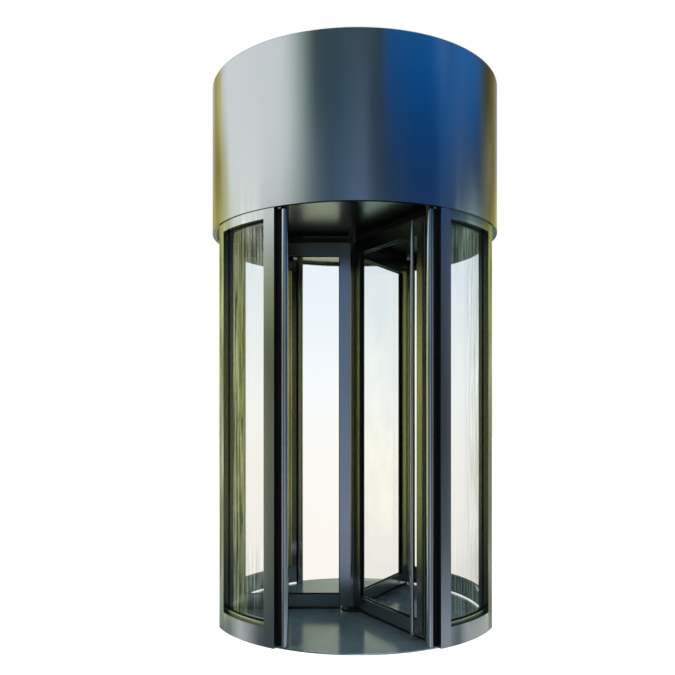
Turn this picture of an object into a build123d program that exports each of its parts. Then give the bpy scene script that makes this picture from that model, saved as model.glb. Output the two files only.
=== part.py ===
from build123d import *
import os
from math import cos, degrees, radians, sin

# Revolving door: three glazed wings on a central shaft turn inside two curved glazed
# walls, under a tall drum fascia. The origin is the centre of the floor on the turning
# axis, +Z is up and the front mouth faces -Y. Lengths are millimetres. Angles are
# degrees from +X, and the right wall is centred on 0, the left wall on 180. Each wall has
# a deep front bay on the weather side of the facade, and a slim middle and rear bay inside.

# ---------------------------------------------------------------- driving dimensions

# Overall
drum_radius = 950.0  # outer face of the fascia
total_height = 3475.0
head_height = 2520.0  # underside of the fascia above the floor level

# Fits and clearances
seat_gap = 0.3  # between curved faces that meet
channel_play = 0.5  # on each face of a pane in its channel
bearing_play = 0.05  # radial, shaft pin in its bearing
seal_clearance = 2.0  # seals to the floor, its bearing, the ceiling and the shaft
tip_clearance = 7.0  # side seal to the wall

# Fascia, ceiling and roof
fascia_sheet = 3.0
foot_ring_width = 23.0  # ring at the foot of the fascia
foot_ring_height = 19.0  # its top carries the ceiling
fascia_joint = 1.0  # open joint between the two half drums
roof_lip = 40.0  # return at the top of the fascia, which carries the roof
roof_sheet = 3.0
ceiling_sheet = 6.0

# Curved walls
wall_setback = 8.0  # face of the front bays behind the fascia face
wall_depth = 67.0  # front bays
inner_wall_setback = 37.0  # face of the middle and rear bays behind that of the front bays
inner_wall_depth = 45.0  # middle and rear bays
shadow_gap = 3.0  # between the wall and the fascia
mouth_half_angle = 30.4  # from the front axis to the end of a wall
facade_angle = 25.0  # from the side axis to the face that meets a facade
facade_stop = 3.0  # inner part of the outer posts past that face
mouth_post_width = 75.0
outer_post_width = 79.0
inner_post_width = 36.0  # inner part of the outer posts
rear_post_width = 46.0
mullion_width = 45.0
bottom_rail_height = 114.0
top_rail_height = 55.0
bottom_upstand = 26.0  # inner lip of the bottom rails, which holds the pane
top_upstand = 12.0  # the same on the top rails
bead_width = 12.0  # outer glazing beads on the bottom rails
bead_height = 20.0
wall_glass = 11.0
wall_glass_setback = 36.0
inner_glass_setback = 16.0
channel_depth = 12.0
glass_bite = 10.0  # how far a pane reaches into its channel
head_channel_inset = 17.0  # from the faces of the middle and rear bays

# Mouth tubes and their gaskets
tube_diameter = 46.0
tube_setback = 24.0  # front tubes behind the wall face
tube_gap = 20.0  # tube to the end of the wall
gasket_width = 22.0
gasket_groove = 8.0

# Floor
floor_sheet = 8.0
floor_trim = 3.0

# Shaft and bearings
shaft_radius = 34.0
pin_radius = 20.0
pin_reach_top = 40.0
floor_bearing_radius = 90.0
floor_bearing_height = 8.0
top_bearing_width = 110.0  # square block on the ceiling plate

# Wings
wing_count = 3
first_wing_angle = 60.0
wing_thickness = 45.0
wing_bottom_gap = 26.0
wing_top_gap = 52.5
wing_bottom_rail = 80.0
wing_top_rail = 80.0
inner_stile_width = 67.0
outer_stile_width = 80.0
tip_seal_reach = 29.0
wing_glass = 8.0
seal_sheet = 8.0
seal_groove = 8.0
edge_chamfer = 2.0

# Push bars
bar_diameter = 22.0
bar_standoff = 65.0  # bar centre from the middle of the wing
bar_inset = 64.0  # bar centre from the outer edge of the wing
bar_top_margin = 10.5  # bar's top end under the top of the wing
bar_bottom_drop = 3.5  # bar's bottom end under the bottom rail
bracket_sheet = 6.0
bracket_margin = 14.0  # bracket from the end of the bar

# ---------------------------------------------------------------- derived dimensions


def arc_angle(length, radius):
    """The angle of an arc of this length."""
    return degrees(length / radius)


wall_outer = drum_radius - wall_setback
front_inner = wall_outer - wall_depth
inner_wall_outer = wall_outer - inner_wall_setback
wall_inner = inner_wall_outer - inner_wall_depth
wall_top = head_height - shadow_gap
wall_end = 90.0 - mouth_half_angle  # angle of a wall's ends from the side axis
mouth_post_end = wall_end - arc_angle(mouth_post_width, wall_outer)
outer_post_end = facade_angle + arc_angle(outer_post_width, wall_outer)
stop_angle = facade_angle - arc_angle(facade_stop, inner_wall_outer)
inner_post_end = stop_angle + arc_angle(inner_post_width, inner_wall_outer)
rear_post_end = wall_end - arc_angle(rear_post_width, inner_wall_outer)
mullion_half_angle = arc_angle(mullion_width / 2, inner_wall_outer)
glass_outer = wall_outer - wall_glass_setback
glass_inner = glass_outer - wall_glass
inner_glass_outer = inner_wall_outer - inner_glass_setback
inner_glass_inner = inner_glass_outer - wall_glass
opening_bottom = bottom_rail_height
opening_top = wall_top - top_rail_height

ceiling_height = head_height + foot_ring_height
fascia_inner = drum_radius - fascia_sheet
fascia_top = total_height - roof_sheet

tube_radius = tube_diameter / 2
tube_place = wall_outer - tube_setback - tube_radius  # its centre from the axis
tube_angle = wall_end + arc_angle(tube_gap + tube_radius, tube_place)
rear_tube_place = (wall_inner + inner_wall_outer) / 2
rear_tube_angle = wall_end + arc_angle(tube_gap + tube_radius, rear_tube_place)
floor_radius = tube_place + tube_radius

wing_bottom = floor_sheet + wing_bottom_gap
wing_top = ceiling_height - wing_top_gap
inner_stile_end = shaft_radius + inner_stile_width
wing_edge = wall_inner - tip_clearance - tip_seal_reach
outer_stile_start = wing_edge - outer_stile_width
wing_glass_bottom = wing_bottom + wing_bottom_rail
wing_glass_top = wing_top - wing_top_rail

# Each wall's middle, and which way its angles run from there towards the front.
wall_sides = {"right": (0.0, -1), "left": (180.0, 1)}
wing_angles = [first_wing_angle + 360.0 / wing_count * i for i in range(wing_count)]

os.makedirs("parts", exist_ok=True)


# ---------------------------------------------------------------- shared geometry


def write(piece, name):
    """Labels a finished piece and writes its STEP file."""
    piece.part.label = name
    export_step(piece.part, f"parts/{name}.step")


def polar(radius, angle):
    """The point at a radius and an angle round the axis."""
    return (radius * cos(radians(angle)), radius * sin(radians(angle)))


def upright(angle):
    """The upright plane through the axis: x runs outward, y runs up."""
    x, y = polar(1, angle)
    return Plane(origin=(0, 0, 0), x_dir=(x, y, 0), z_dir=(y, -x, 0))


def level(height, angle):
    """The level plane at a height, with its x turned to an angle."""
    x, y = polar(1, angle)
    return Plane(origin=(0, 0, height), x_dir=(x, y, 0), z_dir=(0, 0, 1))


def across(distance, angle):
    """The upright plane square to a wing, at a distance from the axis along it."""
    x, y = polar(1, angle)
    return Plane(origin=(distance * x, distance * y, 0), x_dir=(-y, x, 0), z_dir=(x, y, 0))


def sector(inner, outer, angles, mode=Mode.ADD):
    """Adds a ring sector between two radii and two angles to the open sketch."""
    start = min(angles)
    sweep_angle = max(angles) - start
    with BuildLine(mode=Mode.PRIVATE) as outline:
        outside = CenterArc((0, 0), outer, start, sweep_angle)
        inside = CenterArc((0, 0), inner, start, sweep_angle)
        Line(outside @ 0, inside @ 0)
        Line(outside @ 1, inside @ 1)
    make_face(outline.edges(), mode=mode)


def block(low, high, mode=Mode.ADD):
    """Adds the rectangle between two corners to the open sketch."""
    with Locations(((low[0] + high[0]) / 2, (low[1] + high[1]) / 2)):
        Rectangle(high[0] - low[0], high[1] - low[1], mode=mode)


def wall_rails(angles, inner, outer, pane_inner, pane_outer):
    """Adds the curved bottom and top rail of a bay, each with its channel and inner upstand."""
    start = min(angles)
    sweep_angle = max(angles) - start
    for low, high, mouth, into, upstand in (
        (0, opening_bottom, opening_bottom, -1, bottom_upstand),
        (opening_top, wall_top, opening_top, 1, top_upstand),
    ):
        floor = mouth + into * channel_depth
        lip = mouth - into * upstand
        with BuildSketch(upright(start)) as profile:
            block((inner, low), (outer, high))
            block((inner, min(mouth, lip)), (pane_inner - channel_play, max(mouth, lip)))
            block(
                (pane_inner - channel_play, min(mouth, floor)),
                (pane_outer + channel_play, max(mouth, floor)),
                Mode.SUBTRACT,
            )
        revolve(profile.sketch, axis=Axis.Z, revolution_arc=sweep_angle)


def wall_pane(angles, inner, outer):
    """Adds a curved pane that reaches into the channels on its four edges."""
    bite = arc_angle(glass_bite, inner)
    with BuildSketch(Plane.XY.offset(opening_bottom - glass_bite)) as outline:
        sector(inner, outer, (min(angles) - bite, max(angles) + bite))
    extrude(outline.sketch, amount=opening_top - opening_bottom + 2 * glass_bite)


def pane_channel(inner, outer, face):
    """Cuts a pane's channel to both sides of a post's face from the open sketch."""
    depth = arc_angle(channel_depth, inner)
    sector(inner - channel_play, outer + channel_play, (face - depth, face + depth), Mode.SUBTRACT)


def gasket_channel(place, face):
    """Cuts a mouth gasket's groove to both sides of a post's face from the open sketch."""
    depth = arc_angle(gasket_groove, place)
    half = gasket_width / 2
    sector(place - half, place + half, (face - depth, face + depth), Mode.SUBTRACT)


# ---------------------------------------------------------------- floor

with BuildPart() as floor_plate:
    with BuildSketch():
        Circle(floor_radius)
        gap_angle = arc_angle(seat_gap, wall_inner)
        for centre, front in wall_sides.values():
            for face, start, end in (
                (wall_inner, -wall_end - gap_angle, inner_post_end + gap_angle),
                (front_inner, 0.0, wall_end + gap_angle),
            ):
                angles = (centre + front * start, centre + front * end)
                sector(face - seat_gap, drum_radius, angles, Mode.SUBTRACT)
        Circle(pin_radius + seat_gap, mode=Mode.SUBTRACT)
    extrude(amount=floor_sheet)
write(floor_plate, "floor_plate")

with BuildPart() as floor_trims:
    with BuildSketch():
        for centre in (90.0, 270.0):
            edge = mouth_half_angle - arc_angle(seat_gap, wall_inner)
            trim_inner = floor_radius + seat_gap
            sector(trim_inner, trim_inner + floor_trim, (centre - edge, centre + edge))
    extrude(amount=floor_sheet)
write(floor_trims, "floor_trims")

with BuildPart() as floor_bearing:
    with BuildSketch(Plane.XY.offset(floor_sheet)):
        Circle(floor_bearing_radius)
        Circle(pin_radius + bearing_play, mode=Mode.SUBTRACT)
    extrude(amount=floor_bearing_height)
write(floor_bearing, "floor_bearing")

# ---------------------------------------------------------------- fascia, ceiling, roof

for name, start in (("fascia_front", 180.0), ("fascia_rear", 0.0)):
    joint = arc_angle(fascia_joint, drum_radius)
    with BuildPart() as fascia:
        with BuildSketch(upright(start + joint / 2)):
            block((fascia_inner, head_height), (drum_radius, fascia_top))
            block((drum_radius - foot_ring_width, head_height), (drum_radius, ceiling_height))
            block((drum_radius - roof_lip, fascia_top - fascia_sheet), (drum_radius, fascia_top))
        revolve(axis=Axis.Z, revolution_arc=180.0 - joint)
    write(fascia, name)

with BuildPart() as ceiling_plate:
    with BuildSketch(Plane.XY.offset(ceiling_height)):
        Circle(fascia_inner - seat_gap)
        Circle(pin_radius + seat_gap, mode=Mode.SUBTRACT)
    extrude(amount=ceiling_sheet)
write(ceiling_plate, "ceiling_plate")

with BuildPart() as roof_cover:
    with BuildSketch(Plane.XY.offset(fascia_top)):
        Circle(drum_radius)
    extrude(amount=roof_sheet)
write(roof_cover, "roof_cover")

with BuildPart() as top_bearing:
    with BuildSketch(Plane.XY.offset(ceiling_height + ceiling_sheet)):
        Rectangle(top_bearing_width, top_bearing_width)
        Circle(pin_radius + bearing_play, mode=Mode.SUBTRACT)
    extrude(amount=pin_reach_top - ceiling_sheet)
write(top_bearing, "top_bearing")

with BuildPart() as head_channels:
    with BuildSketch(Plane.XY.offset(wall_top)):
        edge = wall_end - arc_angle(head_channel_inset, wall_inner)
        for centre, _ in wall_sides.values():
            sector(
                wall_inner + head_channel_inset,
                inner_wall_outer - head_channel_inset,
                (centre - edge, centre + edge),
            )
    extrude(amount=ceiling_height - wall_top)
write(head_channels, "head_channels")

# ---------------------------------------------------------------- curved walls

inner_wall = (wall_inner, inner_wall_outer, inner_glass_inner, inner_glass_outer)
front_wall = (front_inner, wall_outer, glass_inner, glass_outer)
bays = {}
for name, (centre, front) in wall_sides.items():
    bays[f"{name}_front"] = (centre + front * outer_post_end, centre + front * mouth_post_end, front_wall)
    bays[f"{name}_middle"] = (centre + front * mullion_half_angle, centre + front * stop_angle, inner_wall)
    bays[f"{name}_rear"] = (centre - front * mullion_half_angle, centre - front * rear_post_end, inner_wall)

for name, (centre, front) in wall_sides.items():
    with BuildPart() as posts:
        with BuildSketch():
            # Mouth post, with the gasket's groove in its free end.
            mouth_end = centre + front * wall_end
            mouth_face = centre + front * mouth_post_end
            sector(front_inner, wall_outer, (mouth_face, mouth_end))
            gasket_channel(tube_place, mouth_end)
            pane_channel(glass_inner, glass_outer, mouth_face)
            # Outer post: its deep part meets the facade, its inner part the middle bay.
            outer_face = centre + front * outer_post_end
            stop = centre + front * stop_angle
            sector(front_inner, wall_outer, (centre + front * facade_angle, outer_face))
            sector(wall_inner, inner_wall_outer, (stop, centre + front * inner_post_end))
            pane_channel(glass_inner, glass_outer, outer_face)
            pane_channel(inner_glass_inner, inner_glass_outer, stop)
        extrude(amount=wall_top)
    write(posts, f"{name}_front_posts")

    with BuildPart() as posts:
        with BuildSketch():
            # Rear mouth post.
            mouth_end = centre - front * wall_end
            mouth_face = centre - front * rear_post_end
            sector(wall_inner, inner_wall_outer, (mouth_face, mouth_end))
            gasket_channel(rear_tube_place, mouth_end)
            pane_channel(inner_glass_inner, inner_glass_outer, mouth_face)
            # Mullion between the middle and the rear bay.
            faces = (centre - mullion_half_angle, centre + mullion_half_angle)
            sector(wall_inner, inner_wall_outer, faces)
            for face in faces:
                pane_channel(inner_glass_inner, inner_glass_outer, face)
        extrude(amount=wall_top)
    write(posts, f"{name}_rear_posts")

for name, (start, end, (inner, outer, pane_inner, pane_outer)) in bays.items():
    with BuildPart() as rails:
        wall_rails((start, end), inner, outer, pane_inner, pane_outer)
    write(rails, f"{name}_rails")

    with BuildPart() as pane:
        wall_pane((start, end), pane_inner, pane_outer)
    write(pane, f"{name}_glass")

with BuildPart() as wall_beads:
    with BuildSketch(Plane.XY.offset(opening_bottom)):
        for start, end, (_, _, _, pane_outer) in bays.values():
            low = pane_outer + channel_play
            sector(low, low + bead_width, (start, end))
    extrude(amount=bead_height)
write(wall_beads, "wall_beads")

# ---------------------------------------------------------------- mouth tubes

for name, (centre, front) in wall_sides.items():
    with BuildPart() as tubes:
        with BuildSketch(Plane.XY.offset(floor_sheet)):
            with Locations(
                polar(tube_place, centre + front * tube_angle),
                polar(rear_tube_place, centre - front * rear_tube_angle),
            ):
                Circle(tube_radius)
        extrude(amount=ceiling_height - floor_sheet)
    write(tubes, f"{name}_mouth_tubes")

with BuildPart() as mouth_gaskets:
    with BuildSketch(Plane.XY.offset(floor_sheet)):
        for centre, front in wall_sides.values():
            for place, turn, tube in (
                (tube_place, front, tube_angle),
                (rear_tube_place, -front, rear_tube_angle),
            ):
                groove = arc_angle(gasket_groove - seat_gap, place)
                half = gasket_width / 2 - seat_gap
                sector(
                    place - half, place + half,
                    (centre + turn * (wall_end - groove), centre + turn * tube),
                )
                with Locations(polar(place, centre + turn * tube)):
                    Circle(tube_radius + seat_gap, mode=Mode.SUBTRACT)
    extrude(amount=wall_top - floor_sheet)
write(mouth_gaskets, "mouth_gaskets")

# ---------------------------------------------------------------- shaft

with BuildPart() as centre_shaft:
    body_bottom = floor_sheet + floor_bearing_height + seat_gap
    body_top = ceiling_height - seat_gap
    with BuildSketch(upright(0)):
        block((0, seat_gap), (pin_radius, body_bottom))
        block((0, body_bottom), (shaft_radius, body_top))
        block((0, body_top), (pin_radius, ceiling_height + pin_reach_top))
    revolve(axis=Axis.Z)
write(centre_shaft, "centre_shaft")


# ---------------------------------------------------------------- wings

half_wing = wing_thickness / 2
bar_radius = bar_diameter / 2
bar_place = (wing_edge - bar_inset, -bar_standoff)
bar_bottom = wing_bottom - bar_bottom_drop
bar_top = wing_top - bar_top_margin
seal_bottom = floor_sheet + seal_clearance
seal_top = ceiling_height - seal_clearance
seal_tip = wall_inner - tip_clearance


def eased_block(low, high):
    """Adds the rectangle between two corners, with its corners chamfered, to the sketch."""
    with BuildLine(mode=Mode.PRIVATE) as outline:
        Polyline(
            (low[0] + edge_chamfer, low[1]), (high[0] - edge_chamfer, low[1]),
            (high[0], low[1] + edge_chamfer), (high[0], high[1] - edge_chamfer),
            (high[0] - edge_chamfer, high[1]), (low[0] + edge_chamfer, high[1]),
            (low[0], high[1] - edge_chamfer), (low[0], low[1] + edge_chamfer),
            close=True,
        )
    make_face(outline.edges())


for number, angle in enumerate(wing_angles, start=1):
    channel_half = wing_glass / 2 + channel_play

    with BuildPart() as stiles:
        with BuildSketch(level(wing_bottom, angle)):
            # Inner stile, hollowed to the shaft, with a channel for the pane.
            eased_block((0, -half_wing), (inner_stile_end, half_wing))
            Circle(shaft_radius + seat_gap, mode=Mode.SUBTRACT)
            # Outer stile, with a channel for the pane and a groove for the side seal.
            eased_block((outer_stile_start, -half_wing), (wing_edge, half_wing))
            for low, high, half in (
                (inner_stile_end - channel_depth, inner_stile_end, channel_half),
                (outer_stile_start, outer_stile_start + channel_depth, channel_half),
                (wing_edge - seal_groove, wing_edge, seal_sheet / 2),
            ):
                block((low, -half), (high, half), Mode.SUBTRACT)
        extrude(amount=wing_top - wing_bottom)
    write(stiles, f"wing_{number}_stiles")

    with BuildPart() as rails:
        with BuildSketch(across(inner_stile_end, angle)):
            eased_block((-half_wing, wing_bottom), (half_wing, wing_glass_bottom))
            eased_block((-half_wing, wing_glass_top), (half_wing, wing_top))
            for low, high in (
                (wing_glass_bottom - channel_depth, wing_glass_bottom),
                (wing_glass_top, wing_glass_top + channel_depth),
            ):
                block((-channel_half, low), (channel_half, high), Mode.SUBTRACT)
        extrude(amount=outer_stile_start - inner_stile_end)
    write(rails, f"wing_{number}_rails")

    with BuildPart() as pane:
        with BuildSketch(upright(angle)):
            block(
                (inner_stile_end - glass_bite, wing_glass_bottom - glass_bite),
                (outer_stile_start + glass_bite, wing_glass_top + glass_bite),
            )
        extrude(amount=wing_glass / 2, both=True)
    write(pane, f"wing_{number}_glass")

    with BuildPart() as seals:
        with BuildSketch(upright(angle)):
            block((floor_bearing_radius + seal_clearance, seal_bottom), (seal_tip, wing_bottom))
            block((wing_edge - seal_groove, seal_bottom), (seal_tip, seal_top))
            block((shaft_radius + seal_clearance, wing_top), (seal_tip, seal_top))
        extrude(amount=seal_sheet / 2, both=True)
    write(seals, f"wing_{number}_seals")

    with BuildPart() as push_bar:
        with BuildSketch(level(bar_bottom, angle)):
            with Locations(bar_place):
                Circle(bar_radius)
        extrude(amount=bar_top - bar_bottom)
        # A flat bracket near each end carries the bar off the outer stile.
        for height in (bar_bottom + bracket_margin, bar_top - bracket_margin - bracket_sheet):
            with BuildSketch(level(height, angle)):
                block(
                    (bar_place[0] - bar_radius, bar_place[1]),
                    (bar_place[0] + bar_radius, -half_wing),
                )
            extrude(amount=bracket_sheet)
    write(push_bar, f"wing_{number}_push_bar")
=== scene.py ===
import math

import bpy
import numpy as np
from bpy.props import FloatProperty, FloatVectorProperty, PointerProperty
from bpy.types import Operator, Panel, PropertyGroup
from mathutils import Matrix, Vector


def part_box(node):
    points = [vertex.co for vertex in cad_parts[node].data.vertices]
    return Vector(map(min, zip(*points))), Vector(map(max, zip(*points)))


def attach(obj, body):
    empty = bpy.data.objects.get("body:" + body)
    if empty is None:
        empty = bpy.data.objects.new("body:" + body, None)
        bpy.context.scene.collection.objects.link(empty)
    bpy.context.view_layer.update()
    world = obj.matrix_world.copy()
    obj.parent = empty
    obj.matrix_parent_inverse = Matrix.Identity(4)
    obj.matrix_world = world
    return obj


bl_info = {
    "name": "Revolving Door Looks",
    "version": (1, 0, 0),
    "blender": (4, 5, 0),
    "location": "View3D > Sidebar > Revolving Door",
    "description": "Finishes and fine pieces of a glazed three-wing revolving door",
    "category": "Object",
}

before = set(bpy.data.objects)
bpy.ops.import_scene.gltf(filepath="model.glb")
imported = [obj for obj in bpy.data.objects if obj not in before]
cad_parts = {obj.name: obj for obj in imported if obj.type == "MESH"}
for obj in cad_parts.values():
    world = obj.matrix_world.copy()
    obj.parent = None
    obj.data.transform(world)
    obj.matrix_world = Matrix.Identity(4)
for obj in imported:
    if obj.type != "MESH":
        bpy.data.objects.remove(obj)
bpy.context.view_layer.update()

# ---------------------------------------------------------------- frame measures


def span(node, axis):
    """The lowest and highest place of a CAD node along one axis."""
    low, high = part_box(node)
    return low[axis], high[axis]


FLOOR_TOP = span("floor_plate", 2)[1]
CEILING = span("ceiling_plate", 2)[0]
DRUM_BOTTOM, DRUM_TOP = span("fascia_front", 2)
DRUM_RADIUS = span("fascia_front", 0)[1]
BEAD_TOP = span("wall_beads", 2)[1]
WALL_TOP = span("head_channels", 2)[0]
SEAL_HALF = span("wing_2_seals", 1)[1]
SEAL_TIP = -span("wing_2_seals", 0)[0]
WING_BOTTOM, WING_TOP = span("wing_2_stiles", 2)
WING_HALF = span("wing_2_stiles", 1)[1]
PANE_HALF = span("wing_2_glass", 1)[1]
BEARING_TOP = span("floor_bearing", 2)[1]
WING_TURNS = (60, 180, 300)  # headings of the wings, counter-clockwise from +X
BEARING_RADIUS = span("floor_bearing", 0)[1]
SHAFT_RADIUS = span("centre_shaft", 0)[1]
WING_EDGE = -span("wing_2_stiles", 0)[0]
BAR_PLACE = -sum(span("wing_2_push_bar", 0)) / 2
BAR_BOTTOM, BAR_TOP = span("wing_2_push_bar", 2)
PANE_SEAT = 0.010  # how deep a pane sits in its frame


def curved_extent(node):
    """Inner and outer radius of a node on the right side, and its lowest and highest
    heading from +X in radians, read from its points."""
    spots = np.array([tuple(v.co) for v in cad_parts[node].data.vertices])
    r = np.hypot(spots[:, 0], spots[:, 1])
    turn = np.arctan2(spots[:, 1], spots[:, 0])
    return r.min(), r.max(), turn.min(), turn.max()


INNER_WALL = curved_extent("right_middle_rails")[0]
FRONT_WALL = curved_extent("right_front_rails")[0]

# ---------------------------------------------------------------- properties


class DoorFinish(PropertyGroup):
    """Colours and textures of the door's finishes."""

    steel: FloatVectorProperty(
        name="Brushed steel", description="Colour of the fascia and the wall frames",
        subtype="COLOR", size=3, min=0, max=1, default=(0.60, 0.615, 0.63),
    )
    tube: FloatVectorProperty(
        name="Ground steel", description="Colour of the tubes, the shaft and the push bars",
        subtype="COLOR", size=3, min=0, max=1, default=(0.68, 0.69, 0.70),
    )
    # The wings' and the shaft's metal is the brushed steel made darker: painted shade of the drum's
    # inside.
    wing: FloatVectorProperty(
        name="Wing metal", description="Colour of the wings' stiles and rails",
        subtype="COLOR", size=3, min=0, max=1, default=(0.36, 0.39, 0.41),
    )
    glass: FloatVectorProperty(
        name="Glass", description="Tint of the panes",
        subtype="COLOR", size=3, min=0, max=1, default=(0.985, 0.995, 0.99),
    )
    floor: FloatVectorProperty(
        name="Floor", description="Colour of the polished floor disc",
        subtype="COLOR", size=3, min=0, max=1, default=(0.075, 0.120, 0.140),
    )
    ceiling: FloatVectorProperty(
        name="Ceiling", description="Colour of the soffit",
        subtype="COLOR", size=3, min=0, max=1, default=(0.19, 0.21, 0.21),
    )
    grain: FloatProperty(
        name="Grain", description="Depth of the brushing in the steel",
        min=0, max=1, default=0.25, subtype="FACTOR",
    )


class DoorStage(PropertyGroup):
    """The camera, the floor and the light."""

    camera_place: FloatVectorProperty(
        name="Camera", description="Where the camera stands", subtype="TRANSLATION",
        unit="LENGTH", size=3, default=(-0.114, -4.997, 1.365),
    )
    focal_length: FloatProperty(
        name="Focal length", description="Of the camera, in millimetres",
        min=10, max=300, default=39.16,
    )
    rise: FloatProperty(
        name="Vertical shift", description="How far the view is shifted up", default=0.1067,
    )
    room_size: FloatProperty(
        name="Floor size", description="Side of the stage floor", unit="LENGTH", default=60.0,
    )


# ---------------------------------------------------------------- node helpers


def add(tree, kind, **settings):
    """Adds a shader node; settings name its attributes."""
    node = tree.nodes.new(kind)
    for name, value in settings.items():
        setattr(node, name, value)
    return node


def fill(node, values):
    """Sets a node's inputs from a dict of labels and values."""
    for label, value in values.items():
        node.inputs[label].default_value = value


def math_node(tree, operation, first, second=None, third=None):
    """A Math node; each operand is a number or a socket. Returns its output."""
    node = add(tree, "ShaderNodeMath", operation=operation)
    for place, value in enumerate((first, second, third)):
        if value is None:
            continue
        if isinstance(value, (int, float)):
            node.inputs[place].default_value = value
        else:
            tree.links.new(value, node.inputs[place])
    return node.outputs[0]


def mix_colour(tree, share, first, second):
    """A colour mix of two sockets or colours by a share. Returns its output."""
    node = add(tree, "ShaderNodeMix", data_type="RGBA")
    for place, value in ((0, share), (6, first), (7, second)):
        if isinstance(value, (int, float)):
            node.inputs[place].default_value = value
        elif isinstance(value, tuple):
            node.inputs[place].default_value = (*value, 1.0)
        else:
            tree.links.new(value, node.inputs[place])
    return node.outputs[2]


def blend(tree, kind, first, second, share=1.0):
    """Two colour sockets combined by a blend type. Returns its output."""
    output = mix_colour(tree, share, first, second)
    output.node.blend_type = kind
    return output


def ramp(tree, value, stops):
    """A colour ramp over (place, colour) stops, fed by a socket. Returns its output."""
    node = add(tree, "ShaderNodeValToRGB")
    elements = node.color_ramp.elements
    while len(elements) < len(stops):
        elements.new(0.5)
    for element, (place, colour) in zip(elements, stops):
        element.position = place
        element.color = (*colour, 1.0)
    tree.links.new(value, node.inputs[0])
    return node.outputs[0]


def noise(tree, vector, values, dimensions="3D"):
    """A Noise node fed by a vector socket. Returns its Fac output."""
    node = add(tree, "ShaderNodeTexNoise", noise_dimensions=dimensions)
    fill(node, values)
    tree.links.new(vector, node.inputs["Vector"])
    return node.outputs["Fac"]


def bump_surface(tree, shader, height, strength, distance):
    """Bumps a shader's surface by a height socket."""
    bump = add(tree, "ShaderNodeBump")
    fill(bump, {"Strength": strength, "Distance": distance})
    tree.links.new(height, bump.inputs["Height"])
    tree.links.new(bump.outputs["Normal"], shader.inputs["Normal"])


# ---------------------------------------------------------------- shared effects


def grain_group():
    """Brushing: noise stretched along one direction. The Scale input stretches it, with a
    small number along the grain and a large one across. Height is the brushing itself, and
    Roughness is Base, varied by Spread with the brushing and a slow, faint smudge."""
    group = bpy.data.node_groups.new("brushed_grain", "ShaderNodeTree")
    face = group.interface
    face.new_socket("Scale", in_out="INPUT", socket_type="NodeSocketVector")
    for name in ("Roughness", "Height"):
        face.new_socket(name, in_out="OUTPUT", socket_type="NodeSocketFloat")
    for name, value in (("Base", 0.2), ("Spread", 0.1)):
        socket = face.new_socket(name, in_out="INPUT", socket_type="NodeSocketFloat")
        socket.default_value = value
    inside = add(group, "NodeGroupInput")
    outside = add(group, "NodeGroupOutput")
    place = add(group, "ShaderNodeTexCoord").outputs["Object"]
    stretch = add(group, "ShaderNodeVectorMath", operation="MULTIPLY")
    group.links.new(place, stretch.inputs[0])
    group.links.new(inside.outputs["Scale"], stretch.inputs[1])
    streaks = noise(group, stretch.outputs[0], {"Scale": 1.0, "Detail": 5.0, "Roughness": 0.7})
    smudge = noise(group, place, {"Scale": 2.3, "Detail": 3.0})
    centred = math_node(group, "SUBTRACT", math_node(group, "ADD", streaks, smudge), 1.0)
    shift = math_node(group, "MULTIPLY", centred, inside.outputs["Spread"])
    total = math_node(group, "ADD", shift, inside.outputs["Base"])
    group.links.new(total, outside.inputs["Roughness"])
    group.links.new(streaks, outside.inputs["Height"])


# ---------------------------------------------------------------- materials

GRAIN_DEPTH = 0.0002  # of the brushing in a metal
TEXTURE_DEPTH = 0.0005  # of the unevenness of the other materials
ROUGHNESS_RANGE = 0.2  # how far their roughness varies
# How the grain's noise is stretched: along the arc of a wall, and along an upright.
ALONG_ARC = (4.0, 4.0, 900.0)
ALONG_HEIGHT = (900.0, 900.0, 4.0)


def new_material(name):
    """An empty node material with a Principled shader. Returns it, its tree and the shader."""
    material = bpy.data.materials.new(name)
    material.use_nodes = True
    tree = material.node_tree
    return material, tree, tree.nodes["Principled BSDF"]


def metal(name, colour, roughness, spread, scale, grain, anisotropy=0.0, turn=0.0):
    """A brushed metal: the grain group drives roughness and a fine bump."""
    material, tree, shader = new_material(name)
    fill(shader, {"Base Color": (*colour, 1.0), "Metallic": 1.0, "Anisotropic": anisotropy,
                  "Anisotropic Rotation": turn})
    effect = add(tree, "ShaderNodeGroup", node_tree=bpy.data.node_groups["brushed_grain"])
    fill(effect, {"Scale": scale, "Base": roughness, "Spread": spread})
    tree.links.new(effect.outputs["Roughness"], shader.inputs["Roughness"])
    bump_surface(tree, shader, effect.outputs["Height"], grain, GRAIN_DEPTH)
    if anisotropy:
        tangent = add(tree, "ShaderNodeTangent", direction_type="RADIAL", axis="Z")
        tree.links.new(tangent.outputs[0], shader.inputs["Tangent"])
    return material


def glass(name, tint, index):
    """Clear glass that lets lamps through. The index sets how much it mirrors."""
    material, tree, shader = new_material(name)
    fill(shader, {"Base Color": (*tint, 1.0), "Roughness": 0.0, "IOR": index,
                  "Transmission Weight": 1.0})
    clear = add(tree, "ShaderNodeBsdfTransparent")
    fill(clear, {"Color": (*tint, 1.0)})
    path = add(tree, "ShaderNodeLightPath")
    mix = add(tree, "ShaderNodeMixShader")
    tree.links.new(path.outputs["Is Shadow Ray"], mix.inputs[0])
    tree.links.new(shader.outputs[0], mix.inputs[1])
    tree.links.new(clear.outputs[0], mix.inputs[2])
    tree.links.new(mix.outputs[0], tree.nodes["Material Output"].inputs["Surface"])
    return material


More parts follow.
